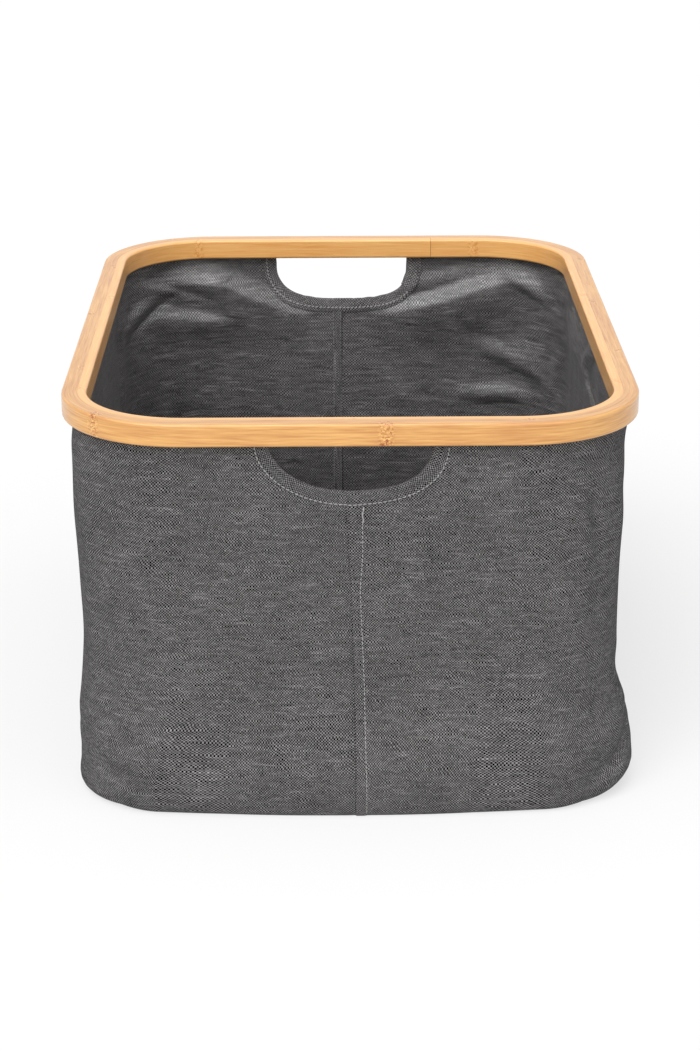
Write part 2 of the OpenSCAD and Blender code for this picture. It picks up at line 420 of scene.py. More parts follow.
def cloth(name, warp, weft, shine=0.0, roughness=0.6, sheen=0.0, crease_shade=0.7, flat=False, **weave):
    """Heathered woven cloth, with painted shade along the pinched fold's line: there it is darkened to the
    given share.

    A flat piece is woven along X and Y, any other along its own map. What is in weave goes to the weave's
    inputs of the same names.
    """
    material, recipe, shader = new_material(name)
    if flat:
        place = recipe.value("ShaderNodeTexCoord", output="Object")
        place = recipe.value("ShaderNodeMapping", {"Vector": place, "Location": (1.0, 1.0, 0.0)})
    else:
        place = recipe.value("ShaderNodeUVMap", uv_map="weave")
    inputs = {label.capitalize(): value for label, value in weave.items()}
    woven = recipe.group(WOVEN_CLOTH, {"Place": place, "Warp": warp, "Weft": weft, **inputs})
    cloud = recipe.noise(place, 22.0, 3.0).spread(0.3, 0.7, 0.90, 1.10)
    # painted shade: how dark the pinched fold's line is, kept as a point attribute of the wall
    tuck_shade = recipe.value("ShaderNodeAttribute", output="Fac", attribute_name="tuck_shade")
    recipe.fill(shader, {
        "Base Color": recipe.shade(woven["Color"], cloud * tuck_shade.spread(0.0, 1.0, 1.0, crease_shade)),
        "Normal": recipe.bump(woven["Height"], 0.0001),
        "Roughness": roughness, "Specular IOR Level": shine,
        "Sheen Weight": sheen, "Sheen Roughness": 0.4,
    })
    return material


def bamboo(name, pale, dark, knuckles, seed):
    """Clear-coated bamboo strip with its knuckles at the given distances along it."""
    material, recipe, shader = new_material(name)
    place = recipe.value("ShaderNodeAttribute", output="Vector", attribute_name="grain")
    shifted = recipe.value("ShaderNodeMapping", {"Vector": place, "Location": (seed, seed, seed)})
    along = recipe.split(place)[0]
    band = 0.0
    for distance in knuckles:
        band = recipe.group(KNUCKLE_BAND, {"Along": along, "At": distance, "Before": band})["Band"]
    fibre = recipe.group(BAMBOO_FIBRE, {"Place": shifted, "Pale": pale, "Dark": dark, "Knuckle": band})
    recipe.fill(shader, {
        "Base Color": fibre["Color"], "Normal": recipe.bump(fibre["Height"], 0.00004),
        "Roughness": 0.45, "Coat Weight": 0.6, "Coat Roughness": 0.20,
    })
    return material


def speckled(name, colour, uneven, scale, roughness, bump):
    """Plain plastic or board with a fine mottle."""
    material, recipe, shader = new_material(name)
    speck = recipe.noise(recipe.value("ShaderNodeTexCoord", output="Object"), scale, 3.0)
    recipe.fill(shader, {
        "Base Color": recipe.shade(colour, speck.spread(0.3, 0.7, 1 - uneven, 1 + uneven)),
        "Normal": recipe.bump(speck, bump), "Roughness": roughness,
    })
    return material


def sewing_thread(name, colour):
    """Twisted sewing thread."""
    material, recipe, shader = new_material(name)
    place = recipe.value("ShaderNodeTexCoord", output="Object")
    twist = recipe.noise(place, 1400.0, 1.0).spread(0.3, 0.7, 0.7, 1.15)
    recipe.fill(shader, {
        "Base Color": recipe.shade(colour, twist), "Normal": recipe.bump(twist, 0.00008), "Roughness": 0.6,
    })
    return material


# ---------------------------------------------------------------- shape of the cloth wall
def mix(a, b, share):
    """From a at a share of 0 to b at a share of 1."""
    return a + (b - a) * share


def ease(share):
    """Goes from 0 to 1 with the share, slowly at both ends."""
    return (1 - np.cos(np.pi * np.clip(share, 0, 1))) / 2


def through(points, x):
    """A smooth line through (x, value) points."""
    xs, values = zip(*points)
    place = np.clip(np.interp(x, xs, range(len(xs))), 0, len(xs) - 1)
    step = np.minimum(np.floor(place).astype(int), len(xs) - 2)
    values = np.array(values)
    return mix(values[step], values[step + 1], ease(place - step))


def rolled_out(z):
    """How far the cloth has turned out from under the basket: 0 at its floor seam, 1 at its widest line."""
    return np.sqrt(np.clip(1 - (1 - np.minimum(z, FLARE_Z) / FLARE_Z) ** 2, 0, 1))


def wall_inset(z):
    """How far the cloth's outer face lies inside the rim's outer edge."""
    roll = SEAM_INSET - ROLL_W * rolled_out(z)
    flare = mix(FLARE_INSET, WAIST_INSET, ease((z - FLARE_Z) / (WAIST_Z - FLARE_Z)))
    upper = mix(WAIST_INSET, HEM_INSET, ease((z - WAIST_Z) / (RIM_Z - WAIST_Z)))
    return np.where(z < FLARE_Z, roll, np.where(z < WAIST_Z, flare, upper))


def front_bow(across):
    """How far the floor seam bows out in front, by the distance from the middle."""
    return FRONT_BOW * np.clip(1 - (np.abs(across) / FRONT_BOW_HALF) ** 2.4, 0, 1)


def wall_radius(z):
    """Radius of the wall's corners."""
    share = np.clip((z - FLARE_Z) / (RIM_Z - FLARE_Z), 0, 1)
    return mix(BASE_R, HEM_R, share) - ROLL_W * (1 - rolled_out(z))


def plain_wall(hand, s, z):
    """Point and outward direction of the smooth wall, s round it from the front seam to the back seam."""
    behind = s > HALF_RUN
    q = np.where(behind, FULL_RUN - s, s)
    inset, radius = wall_inset(z), wall_radius(z)
    corner_x = HALF_W - inset - radius
    corner_y = HALF_D - inset - radius
    turn = np.clip((q - FRONT_RUN) / CORNER_RUN, 0, 1) * np.pi / 2
    stretch = (corner_x - HOLD) / (FRONT_RUN - HOLD)
    front_x = np.where(q < HOLD, q, HOLD + (q - HOLD) * stretch)
    left_over = HALF_RUN - q
    stretch = (corner_y - HOLD) / (SIDE_RUN - HOLD)
    side_y = np.where(left_over < HOLD, left_over, HOLD + (left_over - HOLD) * stretch)
    in_front = q < FRONT_RUN
    on_side = q > FRONT_RUN + CORNER_RUN
    x = np.where(on_side, HALF_W - inset, corner_x + radius * np.sin(turn))
    x = np.where(in_front, front_x, x)
    y = np.where(on_side, side_y, corner_y + radius * np.cos(turn))
    y = np.where(in_front, HALF_D - inset, y)
    flip = np.where(behind, 1.0, -1.0)
    return hand * x, flip * y, hand * np.sin(turn), flip * np.cos(turn)


# The sides' own lean, outward, from the floor up
LEFT_LEAN = [(0.0, -0.0040), (0.010, -0.0036), (0.028, -0.0036), (0.045, -0.0020), (0.062, -0.0002),
             (0.100, 0.0008), (0.150, 0.0012), (0.205, 0.0021), (0.250, 0.0017), (0.269, 0.0)]
RIGHT_LEAN = [(0.0, 0.0030), (0.010, 0.0040), (0.030, 0.0030), (0.045, 0.0018), (0.060, -0.0004),
              (0.080, -0.0029), (0.103, -0.0003), (0.160, 0.0008), (0.190, 0.0006),
              (0.222, -0.0014), (0.256, -0.0030), (0.269, 0.0)]

# The front seam's stitches: height and distance from the seam's fold
FRONT_STITCHES = [(0.0, 0.0083), (0.080, 0.0074), (0.157, 0.0064), (0.200, 0.0092), (0.230, 0.0104)]

# Folds as start (s, z), end (s, z), half width above the line, half width below it, and height.
# A negative height is pushed inward.
LEFT_FOLDS = [
    ((0.192, 0.250), (0.186, 0.030), 0.0072, 0.012, 0.0016),
    ((0.170, 0.240), (0.176, 0.190), 0.007, 0.0042, -0.0016),
    ((0.183, 0.175), (0.160, 0.118), 0.0054, 0.009, 0.0014),
    ((0.178, 0.112), (0.158, 0.048), 0.0042, 0.007, -0.0018),
    ((0.120, 0.014), (0.190, 0.034), 0.006, 0.0036, -0.0028),
    ((0.115, 0.026), (0.190, 0.050), 0.009, 0.0054, 0.0018),
    ((0.052, 0.150), (-0.010, 0.150), 0.0054, 0.009, -0.0012),
    ((0.110, 0.255), (0.190, 0.235), 0.007, 0.0042, -0.0014),
    ((0.817, 0.209), (0.690, 0.266), 0.009, 0.030, -0.0098),
    ((0.735, 0.244), (0.650, 0.249), 0.007, 0.012, -0.0050),
    ((0.748, 0.208), (0.664, 0.219), 0.007, 0.018, -0.0062),
    ((0.635, 0.214), (0.680, 0.238), 0.006, 0.008, -0.0052),
    ((0.650, 0.207), (0.702, 0.241), 0.005, 0.003, 0.0034),
    ((0.660, 0.257), (0.732, 0.230), 0.006, 0.0036, 0.0034),
    ((0.725, 0.182), (0.675, 0.181), 0.0018, 0.003, -0.0010),
    ((0.790, 0.178), (0.750, 0.174), 0.0018, 0.003, -0.0008),
    ((0.640, 0.250), (0.610, 0.130), 0.006, 0.01, -0.0030),
    ((0.500, 0.190), (0.520, 0.120), 0.008, 0.0048, -0.0018),
]
RIGHT_FOLDS = [
    ((0.200, 0.246), (0.120, 0.256), 0.0036, 0.006, -0.0028),
    ((0.168, 0.248), (0.178, 0.165), 0.008, 0.0048, -0.0036),
    ((0.199, 0.240), (0.199, 0.165), 0.0048, 0.008, 0.0022),
    ((0.136, 0.262), (0.070, 0.244), 0.003, 0.005, -0.0016),
    ((0.216, 0.068), (0.172, 0.108), 0.006, 0.01, 0.0016),
    ((0.150, 0.015), (0.222, 0.044), 0.008, 0.0048, -0.0048),
    ((0.165, 0.047), (0.230, 0.066), 0.011, 0.0066, 0.0030),
    ((0.178, 0.165), (0.172, 0.110), 0.0054, 0.009, -0.0012),
    ((0.120, 0.150), (0.030, 0.110), 0.0072, 0.012, 0.0010),
    ((0.825, 0.234), (0.690, 0.266), 0.006, 0.008, -0.0026),
    ((0.822, 0.211), (0.672, 0.254), 0.009, 0.032, -0.0112),
    ((0.655, 0.232), (0.712, 0.262), 0.009, 0.0054, -0.0046),
    ((0.745, 0.207), (0.695, 0.190), 0.0036, 0.006, 0.0018),
    ((0.656, 0.164), (0.724, 0.187), 0.016, 0.006, -0.0055),
    ((0.675, 0.146), (0.750, 0.144), 0.008, 0.0048, -0.0052),
    ((0.640, 0.200), (0.665, 0.130), 0.01, 0.006, -0.0030),
    ((0.455, 0.224), (0.640, 0.236), 0.018, 0.014, -0.0062),
]

# Line along which the right wall is pinched into a fold near the rim
TUCK = [(0.370, 0.2236), (0.415, 0.2236), (0.435, 0.2258), (0.4415, 0.2315),
        (0.435, 0.2400), (0.420, 0.2500), (0.406, 0.2640)]


def fold(s, z, start, end, above, below, height):
    """One long soft ridge between two points of the cloth, gone at both ends."""
    run = (end[0] - start[0], end[1] - start[1])
    length = math.hypot(*run)
    share = ((s - start[0]) * run[0] + (z - start[1]) * run[1]) / length ** 2
    off = ((s - start[0]) * run[1] - (z - start[1]) * run[0]) / length
    reach = np.where((off > 0) == (run[0] > 0), below, above)
    fade = np.sin(np.pi * np.clip(share, 0, 1)) ** 0.8
    return height * fade * np.exp(-(off / reach) ** 2)


def from_tuck(s, z, flat=0.27):
    """Distance from the line of the pinched fold, lengths along the wall shortened, and the side of it."""
    nearest = np.full(s.shape, 1.0)
    side = np.ones(s.shape)
    for (s0, z0), (s1, z1) in zip(TUCK[:-1], TUCK[1:]):
        run_s, run_z = (s1 - s0) * flat, z1 - z0
        off_s, off_z = (s - s0) * flat, z - z0
        share = np.clip((off_s * run_s + off_z * run_z) / (run_s ** 2 + run_z ** 2), 0, 1)
        away = np.hypot(off_s - share * run_s, off_z - share * run_z)
        side = np.where(away < nearest, np.where(run_s * off_z - run_z * off_s > 0, 1.0, -1.0), side)
        nearest = np.minimum(away, nearest)
    return nearest, side


def tuck(s, z):
    """A pinched fold: the cloth inside the line lies over the cloth outside it, which bulges beyond."""
    nearest, side = from_tuck(s, z)
    inside = -0.0018 * np.exp(-(nearest / 0.011) ** 2)
    outside = -0.0018 * np.exp(-(nearest / 0.0009) ** 2)
    outside = outside - 0.0036 * np.exp(-((nearest - 0.0070) / 0.0036) ** 2)
    return np.where(side > 0, inside, outside) * ease((s - 0.362) / 0.02)


def soft_noise(hand, s, z, size, seed):
    """Smooth noise over the cloth, from -1 to 1."""
    flat_s, flat_z = np.broadcast_arrays(s, z)
    values = [noise.noise(Vector((a / size, b / size, seed + 17.0 * hand)))
              for a, b in zip(flat_s.ravel(), flat_z.ravel())]
    return np.array(values).reshape(flat_s.shape)


def pinned(z):
    """1 in the free part of the wall, 0 at the floor seam and in the rim."""
    return ease(z / 0.02) * ease((HEM_TOP - 0.006 - z) / 0.028)


def seam_lift(hand, s, z):
    """The right panel is folded under and lies on the left one, up to its line of stitches."""
    stitch_at = front_stitch(z)
    raised = 0.0009 * ease((stitch_at + 0.0012 - s) / 0.0022)
    dimple = -0.0004 * np.exp(-((s - stitch_at) / 0.0011) ** 2)
    turned_under = -0.0009 * ease((0.0008 - s) / 0.0008)
    below = -0.0003 * ease((0.004 - s) / 0.004)
    return np.where(hand > 0, raised + dimple + turned_under, below)


def front_stitch(z):
    """Distance of the front seam's stitches from its fold."""
    return through(FRONT_STITCHES, z)


def seam_drift(s, z):
    """Sideways wander of the two centre seams, which the cloth near them follows."""
    share = z / 0.222
    front = 0.0021 + 0.00107 * share - 0.00707 * share ** 2
    near_front = np.clip(1 - s / 0.06, 0, 1) ** 2
    near_back = np.clip(1 - (FULL_RUN - s) / 0.06, 0, 1) ** 2
    return front * near_front + BACK_SEAM_X * near_back


def swell(hand, s, z):
    """How far the cloth stands out from the smooth wall."""
    side_share = ease((s - FRONT_RUN - 0.02) / 0.06) * ease((FULL_RUN - FRONT_RUN - s) / 0.09)
    total = through(LEFT_LEAN if hand < 0 else RIGHT_LEAN, z) * side_share
    for one in (LEFT_FOLDS if hand < 0 else RIGHT_FOLDS):
        total = total + fold(s, z, *one)
    if hand > 0:
        total = total + tuck(s, z)
    # slack cloth waves a little everywhere, in broad and in narrow waves
    slack = 0.0016 * soft_noise(hand, s, z * 0.7, 0.075, 1.0)
    slack = slack + 0.0007 * soft_noise(hand, s, z * 0.6, 0.028, 5.0)
    return (total + slack) * pinned(z) + seam_lift(hand, s, z)


def low_front(s, z):
    """The wall stands out in front where its floor seam bows, and its lower edge is rolled less there."""
    return front_bow(s) * (0.62 * ease((0.085 - z) / 0.065) + 0.38 * (1 - rolled_out(z)))


def cloth_point(hand, s, z, depth=0.0):
    """A point of the finished wall, at a depth into the cloth from its outer face."""
    s, z = np.broadcast_arrays(np.asarray(s, float), np.asarray(z, float))
    x, y, out_x, out_y = plain_wall(hand, s, z)
    out = swell(hand, s, z) + low_front(s, z) - depth
    return np.stack([x + out_x * out + seam_drift(s, z), y + out_y * out, z], -1)


def end_point(end, across, z, depth=0.0):
    """A point of the finished wall at its front or back, by its distance to the right of the middle."""
    across, z, depth = np.broadcast_arrays(*(np.asarray(a, float) for a in (across, z, depth)))
    s = np.abs(across)
    s = s if end == "front" else FULL_RUN - s
    right = cloth_point(RIGHT, s, z, depth)
    left = cloth_point(LEFT, s, z, depth)
    return np.where((across > 0)[..., None], right, left)


def hole_edge(end, across):
    """Height of the hand hole's edge, or of the hem where there is no hole."""
    half, middle, drop, left_power, right_power = HOLES[end]
    power = np.where(across < middle, left_power, right_power)
    share = np.abs(across - middle) / half
    curve = RIM_Z - drop * np.clip(1 - share ** power, 0, 1) ** (1 / power)
    return np.where(share < 1 + 1e-9, curve, HEM_TOP)


# ---------------------------------------------------------------- mesh tools
def deselect():
    bpy.ops.object.select_all(action="DESELECT")


def activate(piece):
    deselect()
    piece.select_set(True)
    bpy.context.view_layer.objects.active = piece


def new_piece(name, points, faces, materials):
    """A piece from its points and faces."""
    mesh = bpy.data.meshes.new(name)
    mesh.from_pydata([tuple(p) for p in np.asarray(points, float)], [], faces)
    piece = bpy.data.objects.new(name, mesh)
    bpy.context.scene.collection.objects.link(piece)
    for material in materials:
        mesh.materials.append(material)
    return piece


def smooth(piece):
    piece.data.polygons.foreach_set("use_smooth", [True] * len(piece.data.polygons))


def smooth_by_angle(piece, degrees):
    activate(piece)
    bpy.ops.object.shade_smooth_by_angle(angle=math.radians(degrees))


def apply_modifier(piece, kind, **settings):
    activate(piece)
    made = piece.modifiers.new(kind.lower(), kind)
    for key, value in settings.items():
        setattr(made, key, value)
    bpy.ops.object.modifier_apply(modifier=made.name)


def point_outward(piece):
    """Merges doubles and turns every face outward."""
    activate(piece)
    bpy.ops.object.mode_set(mode="EDIT")
    bpy.ops.mesh.select_all(action="SELECT")
    bpy.ops.mesh.remove_doubles(threshold=1e-6)
    bpy.ops.mesh.normals_make_consistent(inside=False)
    bpy.ops.object.mode_set(mode="OBJECT")


def grid_faces(rows, columns, closed=False):
    """Faces of a grid of rows times columns points. A closed grid joins its last column to its first."""
    reach = columns if closed else columns - 1
    return [(r * columns + c, r * columns + (c + 1) % columns,
             (r + 1) * columns + (c + 1) % columns, (r + 1) * columns + c)
            for r in range(rows - 1) for c in range(reach)]


def lay_map(piece, per_point):
    """Gives the piece its weave map, one (along, up) place in metres for each point."""
    layer = piece.data.uv_layers.new(name="weave")
    corners = np.zeros(len(piece.data.loops), int)
    piece.data.loops.foreach_get("vertex_index", corners)
    layer.data.foreach_set("uv", np.asarray(per_point, float)[corners].astype(np.float32).ravel())


def distances(points):
    """How far each point of a line lies along it."""
    steps = np.linalg.norm(np.diff(points, axis=0), axis=1)
    return np.concatenate([[0], np.cumsum(steps)])


def rigid(piece, body):
    """A piece that moves with one body and keeps its shape."""
    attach(piece, body)


def stand_in(piece, name, body):
    """A rigid piece in place of the frame's piece of that name."""
    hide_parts(name)
    rigid(piece, body)


def soft(piece):
    """A soft piece of the wall, which rides on the basket, with a mesh of its own."""
    rigid(piece, "basket")
    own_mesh(piece)


# ---------------------------------------------------------------- wall panels
# Distances from the front seam at which the cloth has upright lines, to shape its fold and its stitches
SEAM_LINES = [0.0, 0.0004, 0.0008, 0.0015, 0.0045, 0.0060, 0.0070, 0.0080, 0.0090, 0.0100, 0.0110, 0.0125]
# Distances between which its upright lines are close together for the pinched fold
TUCK_FROM, TUCK_TO = 0.405, 0.470
# Height up to which the cloth's level lines run straight across, below both hand holes
LEVEL_TOP = 0.200
# Level lines in the roll at the floor, from there to the level top, and on to the cloth's upper edge
ROLL_ROWS, LOW_ROWS, HIGH_ROWS = 7, 62, 43


def panel_columns(hand):
    """Distances of the cloth's upright lines from the front seam, closer where it is shaped most."""
    def hole_run(half):
        return half * np.sin(np.linspace(0, np.pi / 2, 31))

    def even(start, end, apart=0.0027):
        return np.linspace(start, end, max(2, int(round((end - start) / apart)) + 1))

    front_half = HOLES["front"][0] + hand * HOLES["front"][1]
    back_half = HOLES["back"][0] + hand * HOLES["back"][1]
    past = 0.0005
    columns = np.sort(np.concatenate([
        SEAM_LINES,
        hole_run(front_half),
        even(front_half + past, FRONT_RUN),
        even(FRONT_RUN, TUCK_FROM),
        even(TUCK_FROM, TUCK_TO, 0.0012),
        even(TUCK_TO, FULL_RUN - FRONT_RUN),
        even(FULL_RUN - FRONT_RUN, FULL_RUN - back_half - past),
        FULL_RUN - hole_run(back_half),
    ]))
    apart = np.concatenate([[True], np.diff(columns) > 0.00035])
    keep_edges = np.isin(columns, [front_half, FULL_RUN - back_half])
    return columns[apart | keep_edges]


def column_top(hand, s):
    """Height of the cloth's upper edge along each of its upright lines."""
    top = np.full(s.shape, HEM_TOP)
    from_back = FULL_RUN - s
    top = np.where(s < 0.1, hole_edge("front", hand * s), top)
    return np.where(from_back < 0.1, hole_edge("back", hand * from_back), top)


def wall_panel(name, hand, outer_cloth, inner_cloth):
    """Half of the wall, from the front seam round one side to the back seam."""
    s = panel_columns(hand)
    top = column_top(hand, s)
    turn = np.linspace(0, np.pi / 2, ROLL_ROWS + 1)[:-1]
    low_rows = np.concatenate([FLARE_Z * (1 - np.cos(turn)), np.linspace(FLARE_Z, LEVEL_TOP, LOW_ROWS)])
    share = np.linspace(0, 1, HIGH_ROWS + 1)[1:]
    z_low = np.repeat(low_rows[:, None], len(s), 1)
    z_high = mix(LEVEL_TOP, top[None, :], share[:, None])
    z = np.concatenate([z_low, z_high])
    s_grid = np.repeat(s[None, :], len(z), 0)
    points = cloth_point(hand, s_grid, z)
    faces = grid_faces(*z.shape)
    if hand < 0:
        faces = [face[::-1] for face in faces]
    piece = new_piece(name, points.reshape(-1, 3), faces, [outer_cloth, inner_cloth])
    lay_map(piece, np.stack([1 + hand * s_grid.ravel(), 1 + z.ravel()], -1))
    if hand > 0:
        # painted shade: the pinched fold's line is darkened
        nearest, _ = from_tuck(s_grid, z, 0.16)
        dark = np.exp(-(nearest / 0.0017) ** 2) * ease((s_grid - 0.372) / 0.02)
        tuck_shade = piece.data.attributes.new("tuck_shade", "FLOAT", "POINT")
        tuck_shade.data.foreach_set("value", dark.ravel())
    apply_modifier(piece, "SOLIDIFY", thickness=CLOTH_T, offset=-1, material_offset=1,
                   use_quality_normals=True)
    smooth(piece)
    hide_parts(name)
    soft(piece)
    return piece


# ---------------------------------------------------------------- strips, seams and stitches
def hole_path(end):
    """Points (across, z) round a hand hole from its left end to its right end, evenly spaced."""
    half, middle, drop, left_power, right_power = HOLES[end]
    angle = np.linspace(0, np.pi, 721)
    cosine, sine = np.cos(angle), np.clip(np.sin(angle), 0, 1)
    power = np.where(cosine > 0, left_power, right_power)
    across = middle - np.sign(cosine) * half * np.abs(cosine) ** (2 / power)
    z = np.minimum(RIM_Z - drop * sine ** (2 / power), RIM_Z - 0.0004)
    run = distances(np.column_stack([across, z]))
    even = np.linspace(0, run[-1], FACING_STEPS)
    return np.interp(even, run, across), np.interp(even, run, z), even


def away_from_hole(across, z):
    """Direction from the hole into the cloth at each point of its edge."""
    step_a, step_z = np.gradient(across), np.gradient(z)
    length = np.hypot(step_a, step_z)
    return step_z / length, -step_a / length


def swept(name, rings, materials, run, widths, inner_from=None):
    """A closed section carried along rings, with both ends shut.

    Its faces have the second material from the section's point inner_from on.
    """
    rings = np.asarray(rings, float)
    count, size = rings.shape[:2]
    faces = grid_faces(count, size, closed=True)
    faces.append(tuple(range(size)))
    faces.append(tuple(reversed(range((count - 1) * size, count * size))))
    piece = new_piece(name, rings.reshape(-1, 3), faces, materials)
    lay_map(piece, np.stack([np.repeat(run, size), np.tile(widths, count)], -1))
    if inner_from is not None:
        inner = [1 if k % size >= inner_from else 0 for k in range((count - 1) * size)] + [0, 0]
        piece.data.polygons.foreach_set("material_index", inner)
    point_outward(piece)
    smooth_by_angle(piece, 50)
    return piece


# Section of the facing as (distance from the hole's edge, depth into the cloth), outer leaf first
FACING_SECTION = np.array([
    (FACING_W - 0.0002, -0.00002), (FACING_W - 0.0006, -0.00028), (0.0050, -0.00036), (0.0010, -0.00040),
    (0.0001, -0.00036), (-0.0005, 0.0001), (-0.0007, 0.0008), (-0.0005, 0.0016), (0.0002, 0.0021),
    (0.0012, 0.0023), (0.0050, 0.0023), (FACING_W - 0.0002, 0.0024), (FACING_W + 0.0005, 0.0020),
    (FACING_W + 0.0006, 0.0010), (0.0050, 0.00098), (0.0004, 0.00098), (0.0003, 0.00002), (0.0050, 0.00002),
])
# Number of the section's first point on its inner leaf
FACING_INNER_FROM = 7
# Stitches on each leaf: distance from the hole's edge, depth, step outward, slant and thickness
FACING_STITCHES = {
    "outer": (0.0088, -0.00038, -0.001, 0.05, 0.00038),
    "inner": (0.0072, 0.00245, 0.001, 0.45, 0.00055),
}


def hole_facing(end, outer_cloth, inner_cloth, thread):
    """Folded strip that binds the edge of one hand hole, and its two lines of stitches."""
    seed = ENDS.index(end)
    across, z, run = hole_path(end)
    lap = FACING_LAP * run[-1]
    more = np.sort(np.concatenate([run, [lap - 0.0002, lap + 0.0002]]))
    across, z, run = np.interp(more, run, across), np.interp(more, run, z), more
    out_a, out_z = away_from_hole(across, z)
    rings = []
    for i, distance in enumerate(run):
        kink = 0.0009 * abs(noise.noise(Vector((distance / 0.010, seed * 9.1, 0.5))))
        wander = 0.0007 * noise.noise(Vector((distance / 0.02, seed * 5.3, 2.5)))
        doubled = 0.0009 * (distance > lap)
        width, depth = FACING_SECTION.T
        width = width * (1 + wander / FACING_W) - (kink + doubled) * (width < 0.002)
        depth = depth + doubled * (depth > 0.0015)
        up = np.minimum(z[i] + out_z[i] * width, RIM_Z - 0.0002)
        rings.append(end_point(end, across[i] + out_a[i] * width, up, depth))
    name = end + "_hole_facing"
    widths = distances(FACING_SECTION)
    piece = swept(name, rings, [outer_cloth, inner_cloth], run, widths, FACING_INNER_FROM)
    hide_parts(name)
    soft(piece)
    for leaf, (offset, depth, step, slant, thickness) in FACING_STITCHES.items():
        up = np.minimum(z + out_z * offset, RIM_Z - 0.001)
        sewn_row(end + "_hole_" + leaf + "_stitches",
                 lambda deep: end_point(end, across + out_a * offset, up, deep),
                 depth, step, thread, "facing_fabric", thickness=thickness, slant=slant)
    return piece


def one_stitch():
    """A short fat stitch along X, arched up along Z and sunk at both ends: points and faces."""
    rings = [(-0.50, 0.30, -0.55), (-0.36, 0.85, 0.0), (0.0, 1.0, 0.25),
             (0.36, 0.85, 0.0), (0.50, 0.30, -0.55)]
    sides = 6
    points = []
    for x, radius, lift in rings:
        for k in range(sides):
            angle = 2 * math.pi * k / sides
            points.append((x, radius * math.cos(angle), lift + radius * math.sin(angle)))
    faces = grid_faces(len(rings), sides, closed=True)
    faces.append(tuple(reversed(range(sides))))
    faces.append(tuple(range((len(rings) - 1) * sides, len(rings) * sides)))
    return np.array(points), faces


def stitch_row(name, line, outward, thread,
               pitch=STITCH_PITCH, length=0.0026, thickness=0.00032, slant=0.05):
    """Stitches laid along a line of points, each tipped to the cloth's outward direction."""
    run = distances(line)
    shape, shape_faces = one_stitch()
    points, faces = [], []

    def at(distance, values):
        return np.array([np.interp(distance, run, values[:, k]) for k in range(3)])

    for number, centre in enumerate(np.arange(pitch / 2, run[-1], pitch)):
        ahead = at(min(centre + 0.001, run[-1]), line) - at(max(centre - 0.001, 0), line)
        ahead /= np.linalg.norm(ahead)
        up = at(centre, outward)
        up -= ahead * np.dot(up, ahead)
        up /= np.linalg.norm(up)
        tilt = slant + 0.04 * (1 if number % 2 else -1)
        ahead = ahead * math.cos(tilt) + np.cross(up, ahead) * math.sin(tilt)
        size = np.array([length, thickness, thickness])
        first = number * len(shape)
        points.append(at(centre, line) + (shape * size) @ np.array([ahead, np.cross(up, ahead), up]))
        faces += [tuple(first + k for k in face) for face in shape_faces]
    piece = new_piece(name, np.concatenate(points), faces, [thread])
    smooth(piece)
    return piece


def sewn_row(name, place, depth, step, thread, slot_name, **stitch):
    """Stitches on the wall. place gives their line at a depth into the cloth, and step leads outward."""
    line = place(depth)
    row = stitch_row(name, line, place(depth + step) - line, thread, **stitch)
    soft(row)
    return row


def front_seam_stitches(thread):
    """The line of pale stitches beside the front seam, with a short knot at its upper end."""
    z = np.linspace(0.003, RIM_Z - HOLES["front"][2] - FACING_W - 0.0005, 90)
    seam = sewn_row("front_seam_stitches", lambda deep: cloth_point(RIGHT, front_stitch(z), z, deep),
                    -0.00005, -0.001, thread, "wall_fabric")
    knot_z = np.linspace(z[-1] - 0.011, z[-1], 12)
    knot_s = front_stitch(knot_z) + 0.0004 * np.sin(np.linspace(0, 9, 12))
    knot = sewn_row("front_seam_knot", lambda deep: cloth_point(RIGHT, knot_s, knot_z, deep),
                    -0.0002, -0.001, thread, "wall_fabric", pitch=0.0016, thickness=0.00042)
    return [seam, knot]


def seam_fell(name, end, start, width, inner_cloth, thread):
    """Folded seam allowance inside a centre seam, its left edge at start, and its two rows of stitches."""
    z_low, z_high = (limit.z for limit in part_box(name))
    z = np.linspace(z_low, z_high, 72)
    section = np.array([
        (0.0, 0.00098), (0.0, 0.0016), (0.0003, 0.0019), (0.0012, 0.0020),
        (width / 2, 0.0020), (width - 0.0012, 0.0020), (width - 0.0003, 0.0019), (width, 0.0016),
        (width, 0.00098),
    ])
    rings = [end_point(end, start + section[:, 0], level, section[:, 1]) for level in z]
    piece = swept(name, rings, [inner_cloth], z - z[0], section[:, 0])
    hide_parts(name)
    soft(piece)
    rows = [
        sewn_row(name + "_" + label + "_stitches", lambda deep: end_point(end, across, z, deep),
                 0.00203, 0.001, thread, "wall_fabric", length=0.0022)
        for label, across in (("near", start + STITCH_INSET), ("far", start + width - STITCH_INSET))
    ]
    return piece, rows


def back_seam_outside(thread):
    """The two lines of stitches that show outside at the back."""
    z = np.linspace(0.004, RIM_Z - HOLES["back"][2] - FACING_W - 0.001, 90)
    return [
        sewn_row("back_seam_" + label + "_stitches", lambda deep: end_point("back", across, z, deep),
                 -0.00005, -0.001, thread, "wall_fabric")
        for label, across in (("near", -STITCH_INSET), ("far", STITCH_INSET - BACK_FELL_W))
    ]


# ---------------------------------------------------------------- rim
STRAIGHT_D = 2 * (HALF_D - RIM_R)
STRAIGHT_W = 2 * (HALF_W - RIM_R)
RIM_RUN = 2 * (STRAIGHT_D + STRAIGHT_W) + 2 * math.pi * RIM_R
# Direction of travel and outward direction on the right, back, left and front
RIM_SIDES = [
    (Vector((0, 1, 0)), Vector((1, 0, 0))),
    (Vector((-1, 0, 0)), Vector((0, 1, 0))),
    (Vector((0, -1, 0)), Vector((-1, 0, 0))),
    (Vector((1, 0, 0)), Vector((0, -1, 0))),
]


def rim_reach(side):
    """From the rim's middle to the outer face of one of its sides."""
    return HALF_W if side % 2 == 0 else HALF_D


def rim_straight(side):
    """Length of the straight part of one of the rim's sides."""
    return STRAIGHT_D if side % 2 == 0 else STRAIGHT_W


